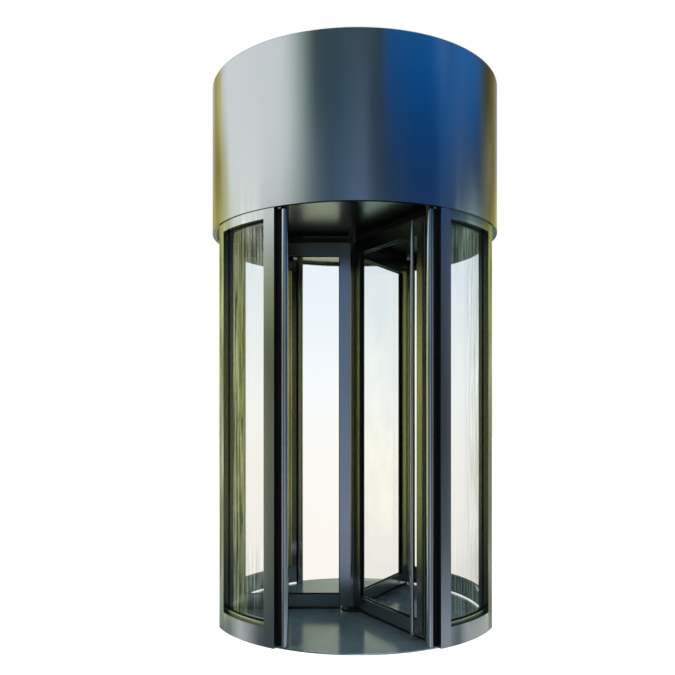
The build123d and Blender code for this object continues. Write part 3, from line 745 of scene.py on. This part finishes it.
ROOM = [
    (-0.60, [
        (-180, (0.05, 0.06, 0.055)), (-90, (0.06, 0.08, 0.08)), (0, (0.10, 0.13, 0.15)),
        (90, (0.08, 0.09, 0.10)), (180, (0.05, 0.06, 0.055)),
    ]),
    (-0.275, [
        (-180, PALE_LEAF), (-175, PALE_LEAF), (-170, (0.26, 0.28, 0.16)),
        (-135, (0.25, 0.28, 0.26)), (-116, (0.22, 0.25, 0.25)), (-110, (0.42, 0.46, 0.45)),
        (-104, (0.60, 0.62, 0.61)), (-99, (0.58, 0.60, 0.59)), (-94, (0.47, 0.49, 0.50)),
        (-89, (0.32, 0.35, 0.35)), (-81, (0.10, 0.13, 0.13)), (-74, (0.06, 0.085, 0.085)),
        (-66, (0.06, 0.085, 0.085)), (-30, (0.12, 0.16, 0.18)), (-8, (0.20, 0.26, 0.32)),
        (2, (0.64, 0.72, 0.88)), (12, (0.40, 0.46, 0.58)), (40, (0.22, 0.27, 0.34)),
        (74, (0.36, 0.41, 0.47)), (78, (0.36, 0.41, 0.47)), (82, (0.23, 0.27, 0.32)),
        (85, (0.13, 0.17, 0.20)), (89, (0.18, 0.21, 0.23)), (93, (0.36, 0.39, 0.41)),
        (98, (0.48, 0.50, 0.52)), (124, (0.56, 0.57, 0.54)), (150, (0.20, 0.22, 0.20)),
        (169, (0.10, 0.15, 0.14)), (173, (0.40, 0.60, 0.55)), (175, (0.84, 1.2, 1.1)),
        (177.6, (0.84, 1.2, 1.1)), (179, PALE_LEAF),
    ]),
    (-0.258, [
        *BEHIND_LEFT, (-134, (0.30, 0.34, 0.32)), (-128, (0.62, 0.72, 0.52)),
        (-104, (0.70, 0.84, 0.50)), (-100, (0.40, 0.50, 0.48)), (-79, (0.26, 0.36, 0.38)),
        (-76, (0.07, 0.10, 0.10)), (-62, (0.10, 0.13, 0.12)), (-30, (0.07, 0.09, 0.10)),
        (-4, (0.05, 0.065, 0.075)), (4, (0.05, 0.065, 0.075)), (40, (0.12, 0.15, 0.19)),
        (74, (0.24, 0.28, 0.33)), (80, (0.22, 0.26, 0.30)), (83, (0.26, 0.37, 0.38)),
        (120, (0.26, 0.37, 0.37)), (125, (0.45, 0.60, 0.40)), (134, (0.44, 0.45, 0.42)),
        (150, (0.20, 0.22, 0.20)), (169, (0.10, 0.15, 0.14)), (173, (0.24, 0.36, 0.33)),
        (176, (0.75, 1.1, 1.0)), (178, (0.75, 1.05, 0.90)), (180, PALE_LEAF),
    ]),
    (-0.232, [
        *BEHIND_LEFT, (-134, (0.36, 0.40, 0.30)), (-128, (0.70, 0.80, 0.58)),
        (-104, (0.74, 0.88, 0.52)), (-100, (0.80, 0.95, 0.90)), (-79, (0.80, 0.95, 0.95)),
        (-76, (0.13, 0.15, 0.12)), (-62, (0.12, 0.14, 0.12)), (-30, (0.08, 0.10, 0.11)),
        (-5, (0.20, 0.25, 0.30)), (1, (0.48, 0.56, 0.74)), (8, (0.24, 0.29, 0.37)),
        (30, (0.09, 0.12, 0.16)), (74, (0.20, 0.23, 0.27)), (80, (0.20, 0.23, 0.27)),
        (83, (0.30, 0.42, 0.43)), (120, (0.30, 0.42, 0.43)), (125, (0.50, 0.68, 0.44)),
        (134, (0.40, 0.41, 0.38)), (150, (0.20, 0.22, 0.20)), *BEHIND_RIGHT,
    ]),
    (-0.17, [
        *BEHIND_LEFT, (-130, (0.38, 0.42, 0.28)), (-128, (0.82, 0.95, 0.62)),
        (-104, (0.82, 0.95, 0.62)), (-101, BRIGHT), (-79, BRIGHT), (-76, (0.16, 0.18, 0.12)),
        (-62, (0.14, 0.16, 0.12)), (-40, (0.12, 0.15, 0.16)), (-10, (0.11, 0.15, 0.18)),
        (1, (0.56, 0.64, 0.82)), (10, (0.30, 0.35, 0.44)), (30, (0.10, 0.13, 0.18)),
        (79, (0.085, 0.105, 0.13)), (82, CLEAR_DAY), (121, CLEAR_DAY), (124, (0.60, 0.82, 0.42)),
        (130, (0.60, 0.82, 0.42)), (133, (0.30, 0.31, 0.24)), (150, (0.20, 0.21, 0.14)),
        *BEHIND_RIGHT,
    ]),
    (-0.03, [
        (-180, PALE_SILVER), (-150, PALE_SILVER), (-140, (0.40, 0.42, 0.26)),
        (-132, (0.43, 0.48, 0.30)), (-129, (0.86, 1.0, 0.66)), (-104, (0.86, 1.0, 0.62)),
        (-101, BRIGHT), (-79, BRIGHT), (-76, (0.17, 0.18, 0.10)), (-64, (0.17, 0.19, 0.13)),
        (-40, (0.09, 0.11, 0.11)), (-10, (0.09, 0.14, 0.16)), (0, (0.44, 0.52, 0.69)),
        (8, (0.20, 0.24, 0.32)), (25, (0.07, 0.09, 0.12)), (52, SHADE),
        (79, (0.045, 0.055, 0.062)), (82, CLEAR_DAY), (121, CLEAR_DAY), (124, (0.62, 0.80, 0.44)),
        (131, (0.62, 0.80, 0.44)), (133, (0.30, 0.31, 0.21)), (141, (0.32, 0.32, 0.22)),
        (151, PALE_SILVER), (180, PALE_SILVER),
    ]),
    (0.08, [
        (-180, PALE_SILVER), (-150, PALE_SILVER), (-140, (0.42, 0.44, 0.20)),
        (-132, (0.46, 0.52, 0.24)), (-129, (0.86, 1.0, 0.62)), (-104, (0.86, 1.0, 0.58)),
        (-101, BRIGHT), (-79, BRIGHT), (-76, (0.11, 0.13, 0.065)), (-62, (0.12, 0.14, 0.09)),
        (-40, (0.07, 0.09, 0.09)), (-10, (0.07, 0.11, 0.13)), (0, (0.32, 0.43, 0.66)),
        (8, (0.14, 0.18, 0.24)), (25, (0.06, 0.08, 0.11)), (52, SHADE),
        (79, (0.060, 0.074, 0.092)), (82, CLEAR_DAY), (121, CLEAR_DAY), (124, (0.60, 0.78, 0.40)),
        (131, (0.60, 0.78, 0.40)), (133, (0.36, 0.38, 0.16)), (141, (0.36, 0.36, 0.18)),
        (151, PALE_SILVER), (180, PALE_SILVER),
    ]),
    (0.15, [
        (-180, PALE_SILVER), (-150, PALE_SILVER), (-140, (0.46, 0.46, 0.16)),
        (-132, (0.52, 0.58, 0.20)), (-129, (0.80, 0.92, 0.50)), (-104, (0.82, 0.95, 0.55)),
        (-101, BRIGHT), (-79, BRIGHT), (-76, (0.28, 0.33, 0.15)), (-62, (0.28, 0.33, 0.17)),
        (-45, (0.14, 0.17, 0.13)), (-20, SLATE), (0, (0.26, 0.38, 0.62)), (25, DUSK),
        (79, (0.070, 0.084, 0.125)), (82, CLEAR_DAY), (121, CLEAR_DAY), (124, (0.55, 0.70, 0.32)),
        (131, (0.52, 0.64, 0.28)), (134, (0.44, 0.46, 0.14)), (142, (0.46, 0.46, 0.16)),
        (152, PALE_SILVER), (180, PALE_SILVER),
    ]),
    (0.232, [
        (-180, PALE_LEAF), (-172, (0.44, 0.42, 0.14)), (-140, LEAF), (-128, (0.70, 0.76, 0.36)),
        (-104, (1.0, 1.1, 0.70)), (-100, (1.4, 1.5, 1.35)), (-79, (1.4, 1.5, 1.45)),
        (-76, (0.57, 0.63, 0.54)), (-48, (0.40, 0.46, 0.42)), (-32, (0.12, 0.16, 0.18)),
        (-20, SLATE), (0, (0.14, 0.20, 0.32)), (24, DUSK), (40, (0.03, 0.06, 0.12)),
        (72, (0.056, 0.096, 0.19)), (79, (0.060, 0.096, 0.18)), (84, (0.30, 0.48, 0.48)),
        (93, (0.38, 0.58, 0.58)), (97, (0.80, 1.1, 1.1)), (106, (0.80, 1.1, 1.1)),
        (111, (0.36, 0.55, 0.52)), (122, (0.34, 0.42, 0.22)), (138, LEAF), (165, LEAF),
        (180, PALE_LEAF),
    ]),
    (0.243, [
        (-180, PALE_LEAF), (-172, LEAF), (-145, LEAF), (-132, (0.50, 0.46, 0.12)),
        (-124, (0.56, 0.56, 0.28)), (-117, (0.72, 0.77, 0.70)), (-110, (1.0, 1.0, 1.0)),
        (-88, (1.0, 1.0, 1.0)), (-75, (0.90, 0.95, 0.96)), (-62, (0.84, 0.89, 0.92)),
        (-50, (0.50, 0.57, 0.56)), (-40, (0.26, 0.33, 0.33)), (-33, (0.12, 0.17, 0.20)),
        (-19, SLATE), (6, (0.080, 0.130, 0.215)), (15, DUSK), (24, (0.025, 0.050, 0.10)),
        (60, (0.004, 0.040, 0.14)), (68, (0.040, 0.085, 0.17)), (78, (0.045, 0.075, 0.13)),
        (84, (0.035, 0.058, 0.088)), (108, (0.040, 0.062, 0.10)), (122, (0.09, 0.09, 0.08)),
        (137, (0.24, 0.19, 0.06)), (150, LEAF), (180, PALE_LEAF),
    ]),
    (0.30, [
        (-180, PALE_LEAF), (-164, PALE_SILVER), (-150, (0.38, 0.30, 0.08)),
        (-137, (0.32, 0.26, 0.07)), (-129, (0.48, 0.43, 0.16)), (-122, (0.60, 0.58, 0.36)),
        (-115, (0.96, 1.0, 1.0)), (-75, (1.0, 1.0, 1.0)), (-58, (0.90, 0.95, 0.93)),
        (-52, (0.76, 0.83, 0.82)), (-47, (0.59, 0.65, 0.65)), (-41, (0.44, 0.51, 0.51)),
        (-35, (0.31, 0.38, 0.40)), (-30, (0.20, 0.26, 0.32)), (-25, (0.13, 0.18, 0.24)),
        (-19, (0.08, 0.13, 0.19)), (-4, (0.085, 0.15, 0.24)), (7, (0.12, 0.17, 0.26)),
        (12, (0.060, 0.10, 0.16)), (17, (0.035, 0.066, 0.11)), (34, (0.022, 0.052, 0.12)),
        (44, (0.0, 0.032, 0.13)), (63, (0.0, 0.034, 0.14)), (69, (0.012, 0.075, 0.23)),
        (79, (0.033, 0.088, 0.23)), (92, (0.020, 0.040, 0.14)), (111, (0.016, 0.034, 0.095)),
        (120, (0.12, 0.125, 0.11)), (129, (0.25, 0.23, 0.13)), (143, (0.24, 0.19, 0.06)),
        (170, PALE_SILVER), (180, PALE_LEAF),
    ]),
    (0.39, [
        (-180, PALE_SILVER), (-160, PALE_SILVER), (-145, (0.42, 0.33, 0.07)),
        (-138, (0.52, 0.44, 0.13)), (-132, (0.92, 0.89, 0.74)), (-124, SILVER),
        (-64, (0.94, 1.0, 1.0)), (-58, (0.87, 0.96, 0.92)), (-52, (0.79, 0.89, 0.85)),
        (-47, (0.62, 0.70, 0.70)), (-41, (0.36, 0.46, 0.44)), (-36, (0.16, 0.23, 0.23)),
        (-31, (0.048, 0.095, 0.11)), (-20, (0.038, 0.075, 0.105)), (-9, (0.042, 0.10, 0.15)),
        (1, (0.080, 0.130, 0.175)), (7, (0.070, 0.11, 0.15)), (12, (0.028, 0.055, 0.090)),
        (22, (0.028, 0.046, 0.085)), (27, (0.0, 0.060, 0.21)), (44, (0.0, 0.070, 0.27)),
        (63, (0.0, 0.080, 0.31)), (70, (0.008, 0.12, 0.38)), (83, (0.025, 0.15, 0.43)),
        (92, (0.035, 0.14, 0.42)), (97, (0.0, 0.135, 0.40)), (110, (0.010, 0.12, 0.35)),
        (117, (0.060, 0.11, 0.15)), (121, (0.060, 0.072, 0.068)), (128, (0.078, 0.060, 0.026)),
        (140, (0.18, 0.13, 0.042)), (175, PALE_SILVER),
    ]),
    (0.44, [
        (-180, PALE_SILVER), (-150, (0.36, 0.33, 0.11)), (-138, (0.34, 0.33, 0.14)),
        (-131, (0.62, 0.61, 0.46)), (-124, SILVER), (-58, SILVER), (-50, (0.66, 0.73, 0.72)),
        (-38, (0.20, 0.27, 0.25)), (-31, (0.050, 0.085, 0.080)), (-24, (0.040, 0.080, 0.10)),
        (10, (0.048, 0.085, 0.110)), (19, (0.033, 0.065, 0.085)), (23, (0.0, 0.11, 0.38)),
        (60, BRIGHT_BLUE), (70, (0.060, 0.21, 0.55)), (78, (0.028, 0.14, 0.40)), (88, SKY),
        (108, (0.033, 0.17, 0.46)), (120, (0.055, 0.085, 0.10)), (134, (0.11, 0.085, 0.030)),
        (155, (0.30, 0.25, 0.08)), (180, PALE_SILVER),
    ]),
    (0.80, [
        (-180, (0.30, 0.32, 0.30)), (0, (0.20, 0.27, 0.33)), (180, (0.30, 0.32, 0.30)),
    ]),
]


def build_world(world):
    """White to the eye, a pale gradient through glass, and a room of colours in reflections."""
    world.use_nodes = True
    tree = world.node_tree
    place = add(tree, "ShaderNodeTexCoord")
    parts = add(tree, "ShaderNodeSeparateXYZ")
    tree.links.new(place.outputs["Generated"], parts.inputs[0])
    x, y, z = parts.outputs

    def maths(operation, first, second=None, third=None):
        return math_node(tree, operation, first, second, third)

    def both(first, second):
        return maths("MULTIPLY", first, second)

    def either(first, second):
        return maths("MAXIMUM", first, second)

    def rising(value, start, end):
        """A smooth step of a socket from 0 at the start to 1 at the end."""
        node = add(tree, "ShaderNodeMapRange", interpolation_type="SMOOTHSTEP")
        fill(node, {"From Min": start, "From Max": end})
        tree.links.new(value, node.inputs["Value"])
        return node.outputs[0]

    # The heading in turns, with the front at 0.5; sides is how far it is from the front, and
    # level how far from the horizon.
    turn = maths("ARCTAN2", x, maths("MULTIPLY", y, -1.0))
    heading = maths("MULTIPLY_ADD", turn, 0.5 / math.pi, 0.5)
    sides = maths("ABSOLUTE", maths("SUBTRACT", heading, 0.5))
    level = maths("ABSOLUTE", z)

    room, below = None, None
    for height, stops in ROOM:
        band = ramp(tree, heading, [(0.5 + angle / 360, colour) for angle, colour in stops])
        room = band if room is None else mix_colour(tree, rising(z, below, height), room, band)
        below = height

    # Upright streaks, like trees: a fast change along the heading and a slow one up and down.
    where = add(tree, "ShaderNodeCombineXYZ")
    tree.links.new(maths("MULTIPLY", heading, 150.0), where.inputs[0])
    tree.links.new(maths("MULTIPLY", z, 9.0), where.inputs[1])
    streaks = noise(tree, where.outputs[0], {"Scale": 1.0, "Detail": 5.0, "Roughness": 0.7}, "2D")
    leafy = ramp(tree, streaks, [
        (0.33, (0.03, 0.08, 0.06)), (0.42, (0.22, 0.34, 0.22)), (0.50, (0.90, 0.88, 0.70)),
        (0.57, (1.4, 1.4, 1.2)), (0.66, (2.0, 2.0, 2.3)),
    ])
    # They stand behind 100 degrees, and from 76 where it is high or low; between the heights
    # that the top and bottom rails mirror; at half strength above; and not straight behind.
    share = either(rising(sides, 0.280, 0.290),
                   both(rising(sides, 0.211, 0.222), rising(level, 0.17, 0.205)))
    share = both(share, both(rising(z, 0.243, 0.237), rising(z, -0.272, -0.260)))
    share = either(share, both(rising(sides, 0.33, 0.37), 0.5))
    share = both(share, rising(sides, 0.415, 0.390))
    room = blend(tree, "MULTIPLY", room, mix_colour(tree, share, (1, 1, 1), leafy))

    # Through the glass: pale blue above, warm white below.
    through = ramp(tree, rising(z, -0.25, 0.25), [
        (0.0, (1.0, 0.94, 0.89)), (0.35, (1.0, 0.975, 0.94)), (0.55, (0.97, 0.99, 1.0)),
        (1.0, (0.83, 0.90, 0.97)),
    ])
    path = add(tree, "ShaderNodeLightPath").outputs
    passed = maths("GREATER_THAN", path["Transmission Depth"], 0.5)
    mirrored = maths("GREATER_THAN", path["Glossy Depth"], 0.5)
    again = maths("GREATER_THAN", path["Glossy Depth"], 1.5)
    spread = maths("GREATER_THAN", path["Diffuse Depth"], 0.5)
    # What is mirrored through the glass, or twice, is dimmer and more olive, but not straight
    # behind.
    inner = ramp(tree, level, [
        (0.0, (0.80, 0.66, 0.30)), (0.12, (0.72, 0.62, 0.30)), (0.20, (0.26, 0.26, 0.20)),
        (0.26, (0.12, 0.13, 0.13)), (1.0, (0.25, 0.25, 0.25)),
    ])
    inner = mix_colour(tree, rising(sides, 0.470, 0.488), inner, (1.0, 1.0, 1.0))
    inner = blend(tree, "MULTIPLY", room, inner)
    room = mix_colour(tree, either(passed, again), room, inner)
    colour = mix_colour(tree, passed, (1.0, 1.0, 1.0), through)
    colour = mix_colour(tree, mirrored, colour, room)
    colour = mix_colour(tree, spread, colour, (0.75, 0.76, 0.78))
    tree.links.new(colour, tree.nodes["Background"].inputs["Color"])


def area_light(name, place, target, size, power):
    """A soft lamp at a place, pointing at a target."""
    data = bpy.data.lights.new(name, "AREA")
    data.shape = "RECTANGLE"
    data.size, data.size_y = size
    data.energy = power
    lamp = bpy.data.objects.new(name, data)
    lamp.location = place
    lamp.rotation_euler = (Vector(target) - Vector(place)).to_track_quat("-Z", "Y").to_euler()
    lamp.visible_camera = lamp.visible_glossy = lamp.visible_transmission = False
    bpy.context.scene.collection.objects.link(lamp)
    return lamp


def stage_floor(side):
    """A plain pale floor that keeps the shadow; metal and glass show the world instead."""
    half = side / 2
    mesh = bpy.data.meshes.new("stage_floor")
    corners = [(-half, -half, 0), (half, -half, 0), (half, half, 0), (-half, half, 0)]
    mesh.from_pydata(corners, [], [(0, 1, 2, 3)])
    floor = bpy.data.objects.new("stage_floor", mesh)
    bpy.context.scene.collection.objects.link(floor)
    floor.visible_glossy = floor.visible_transmission = False
    material, tree, shader = new_material("stage_floor")
    # It is darker in the light that it gives back than to the eye.
    seen = add(tree, "ShaderNodeLightPath").outputs["Is Camera Ray"]
    fill(shader, {"Roughness": 0.9, "Specular IOR Level": 0.0, "Emission Color": (1, 1, 1, 1)})
    colour = mix_colour(tree, seen, (0.36, 0.36, 0.35), (0.92, 0.92, 0.92))
    tree.links.new(colour, shader.inputs["Base Color"])
    tree.links.new(math_node(tree, "MULTIPLY", seen, 0.45), shader.inputs["Emission Strength"])
    mesh.materials.append(material)


class DOOR_OT_stage(Operator):
    """Sets up the camera, the pale floor, the lamps and the world."""

    bl_idname = "door.stage"
    bl_label = "Stage"

    def execute(self, context):
        stage = context.scene.door_stage
        scene = context.scene
        scene.view_settings.view_transform = "Standard"
        data = bpy.data.cameras.new("camera")
        data.lens = stage.focal_length
        data.shift_y = stage.rise
        camera = bpy.data.objects.new("camera", data)
        camera.location = stage.camera_place
        camera.rotation_euler = (math.radians(90), 0, 0)
        scene.collection.objects.link(camera)
        scene.camera = camera
        scene.world = bpy.data.worlds.new("studio")
        build_world(scene.world)
        scene.world.cycles.sampling_method = "NONE"
        stage_floor(stage.room_size)
        middle = (0, 0, (DRUM_TOP + FLOOR_TOP) / 2)
        area_light("key_lamp", (-4.0, -5.0, 5.0), middle, (3.0, 3.0), 160)
        area_light("fill_lamp", (4.5, -4.0, 3.0), middle, (3.0, 3.0), 70)
        area_light("back_lamp", (1.0, 5.5, 4.5), middle, (4.0, 3.0), 120)
        return {"FINISHED"}


# ---------------------------------------------------------------- panel and run

OPERATORS = [
    DOOR_OT_stage, DOOR_OT_finishes, DOOR_OT_gaskets, DOOR_OT_bristles, DOOR_OT_trims,
    DOOR_OT_screws,
]


class DOOR_PT_panel(Panel):
    """Lists the door's sizes, finishes and pieces."""

    bl_idname = "DOOR_PT_panel"
    bl_label = "Revolving Door"
    bl_space_type = "VIEW_3D"
    bl_region_type = "UI"
    bl_category = "Revolving Door"

    def draw(self, context):
        scene = context.scene
        for group in (scene.door_finish, scene.door_pieces, scene.door_stage):
            box = self.layout.box()
            for name in group.__annotations__:
                box.prop(group, name)
        for operator in OPERATORS:
            self.layout.operator(operator.bl_idname)


CLASSES = [DoorFinish, DoorPieces, DoorStage, *OPERATORS, DOOR_PT_panel]


def register():
    for cls in CLASSES:
        bpy.utils.register_class(cls)
    bpy.types.Scene.door_finish = PointerProperty(type=DoorFinish)
    bpy.types.Scene.door_pieces = PointerProperty(type=DoorPieces)
    bpy.types.Scene.door_stage = PointerProperty(type=DoorStage)


def unregister():
    del bpy.types.Scene.door_stage
    del bpy.types.Scene.door_pieces
    del bpy.types.Scene.door_finish
    for cls in reversed(CLASSES):
        bpy.utils.unregister_class(cls)


def main():
    """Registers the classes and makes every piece."""
    register()
    bpy.ops.door.stage()
    bpy.ops.door.finishes()
    bpy.ops.door.gaskets()
    bpy.ops.door.bristles()
    bpy.ops.door.trims()
    bpy.ops.door.screws()


if __name__ == "__main__":
    main()
